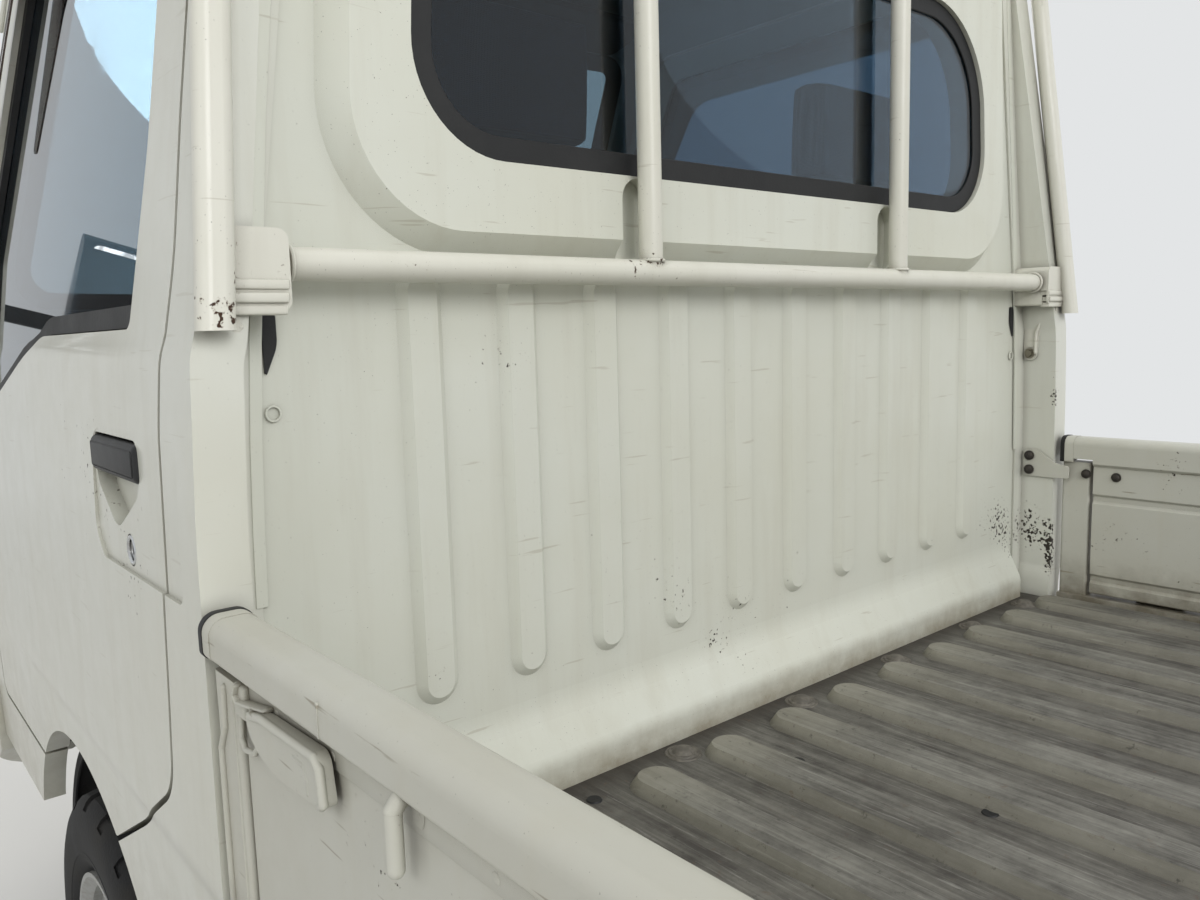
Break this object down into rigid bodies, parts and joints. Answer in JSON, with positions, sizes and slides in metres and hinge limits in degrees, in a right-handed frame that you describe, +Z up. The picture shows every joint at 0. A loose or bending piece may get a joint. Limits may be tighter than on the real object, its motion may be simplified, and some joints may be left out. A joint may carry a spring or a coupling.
{
  "type": "kei truck",
  "caption": "Full-cab mini truck with a drop-side load bed, swinging doors, steered front wheels and a pipe guard frame behind the cab.",
  "frame": {"origin": "on the ground under the middle of the truck's box in plan", "axes": "+X forward, +Y to the truck's left, +Z up"},
  "size_m": [3.395, 1.82, 1.8935],
  "materials": {
    "cab_paint": "gloss, aged off-white",
    "bed_paint": "satin, worn off-white",
    "floor_worn": "matt, worn to grey-brown",
    "chassis_black": "satin black",
    "tyre_rubber": "matt",
    "rim_paint": "satin silver",
    "cast_hub": "cast",
    "clear_glass": "clear",
    "dark_glass": "tinted",
    "black_plastic": "grained",
    "grey_plastic": "grained",
    "lamp_lens": "clear lens",
    "lamp_red": "red lens",
    "seat_cloth": "woven",
    "pipe_paint": "gloss, chipped off-white"
  },
  "bodies": {
    "chassis": {"chassis_frame": "chassis_black", "engine_block": "cast_hub", "front_suspension": "chassis_black", "rear_axle": "chassis_black", "cab_floor": "chassis_black", "cab_front": "cab_paint", "cab_roof": "cab_paint", "cab_back": "cab_paint", "cab_side_left": "cab_paint", "cab_side_right": "cab_paint", "windscreen": "clear_glass", "rear_window": "dark_glass", "dashboard": "grey_plastic", "seat_left": "seat_cloth", "seat_right": "seat_cloth", "front_bumper": "cab_paint", "headlamps": "lamp_lens", "bed_floor": "floor_worn", "bed_frame": "bed_paint", "guard_frame": "pipe_paint", "tail_lamps": "lamp_red", "rear_bar": "chassis_black", "fuel_tank": "chassis_black", "silencer": "cast_hub"},
    "door_left": {"door_left": "cab_paint", "door_glass_left": "dark_glass", "mirror_left": "black_plastic"},
    "door_right": {"door_right": "cab_paint", "door_glass_right": "dark_glass", "mirror_right": "black_plastic"},
    "gate_left": {"gate_left": "bed_paint"},
    "gate_right": {"gate_right": "bed_paint"},
    "tailgate": {"tailgate": "bed_paint"},
    "knuckle_left": {"knuckle_left": "cast_hub"},
    "knuckle_right": {"knuckle_right": "cast_hub"},
    "wheel_front_left": {"tyre_front_left": "tyre_rubber", "rim_front_left": "rim_paint"},
    "wheel_front_right": {"tyre_front_right": "tyre_rubber", "rim_front_right": "rim_paint"},
    "wheel_rear_left": {"tyre_rear_left": "tyre_rubber", "rim_rear_left": "rim_paint"},
    "wheel_rear_right": {"tyre_rear_right": "tyre_rubber", "rim_rear_right": "rim_paint"},
    "steering_wheel": {"steering_wheel": "black_plastic"}
  },
  "joints": [
    {"name": "door_left_swing", "type": "hinge", "parent": "chassis", "child": "door_left", "pos_m": [1.376, 0.725, 0.85], "axis": [0, 0, -1], "range_deg": [0, 65]},
    {"name": "door_right_swing", "type": "hinge", "parent": "chassis", "child": "door_right", "pos_m": [1.376, -0.725, 0.85], "axis": [0, 0, 1], "range_deg": [0, 65]},
    {"name": "gate_left_drop", "type": "hinge", "parent": "chassis", "child": "gate_left", "pos_m": [-0.7, 0.7305, 0.655], "axis": [-1, 0, 0], "range_deg": [0, 175]},
    {"name": "gate_right_drop", "type": "hinge", "parent": "chassis", "child": "gate_right", "pos_m": [-0.7, -0.7305, 0.655], "axis": [1, 0, 0], "range_deg": [0, 175]},
    {"name": "tailgate_drop", "type": "hinge", "parent": "chassis", "child": "tailgate", "pos_m": [-1.6905, 0, 0.655], "axis": [0, -1, 0], "range_deg": [0, 175]},
    {"name": "steering_turn", "type": "hinge", "parent": "chassis", "child": "steering_wheel", "pos_m": [1.265, -0.33, 1.085], "axis": [-0.6198, 0, 0.7848], "range_deg": [-540, 540]},
    {"name": "knuckle_left_steer", "type": "hinge", "parent": "chassis", "child": "knuckle_left", "pos_m": [0.79, 0.52, 0.27], "axis": [0, 0, 1], "range_deg": [-35, 35]},
    {"name": "knuckle_right_steer", "type": "hinge", "parent": "chassis", "child": "knuckle_right", "pos_m": [0.79, -0.52, 0.27], "axis": [0, 0, 1], "range_deg": [-35, 35]},
    {"name": "wheel_front_left_spin", "type": "hinge", "parent": "knuckle_left", "child": "wheel_front_left", "pos_m": [0.79, 0.6425, 0.27], "axis": [0, 1, 0], "continuous": true},
    {"name": "wheel_front_right_spin", "type": "hinge", "parent": "knuckle_right", "child": "wheel_front_right", "pos_m": [0.79, -0.6425, 0.27], "axis": [0, 1, 0], "continuous": true},
    {"name": "wheel_rear_left_spin", "type": "hinge", "parent": "chassis", "child": "wheel_rear_left", "pos_m": [-1.095, 0.6425, 0.27], "axis": [0, 1, 0], "continuous": true},
    {"name": "wheel_rear_right_spin", "type": "hinge", "parent": "chassis", "child": "wheel_rear_right", "pos_m": [-1.095, -0.6425, 0.27], "axis": [0, 1, 0], "continuous": true}
  ],
  "couplings": [
    {"joint": "knuckle_left_steer", "follows": "steering_turn", "ratio": 0.064815},
    {"joint": "knuckle_right_steer", "follows": "steering_turn", "ratio": 0.064815}
  ]
}
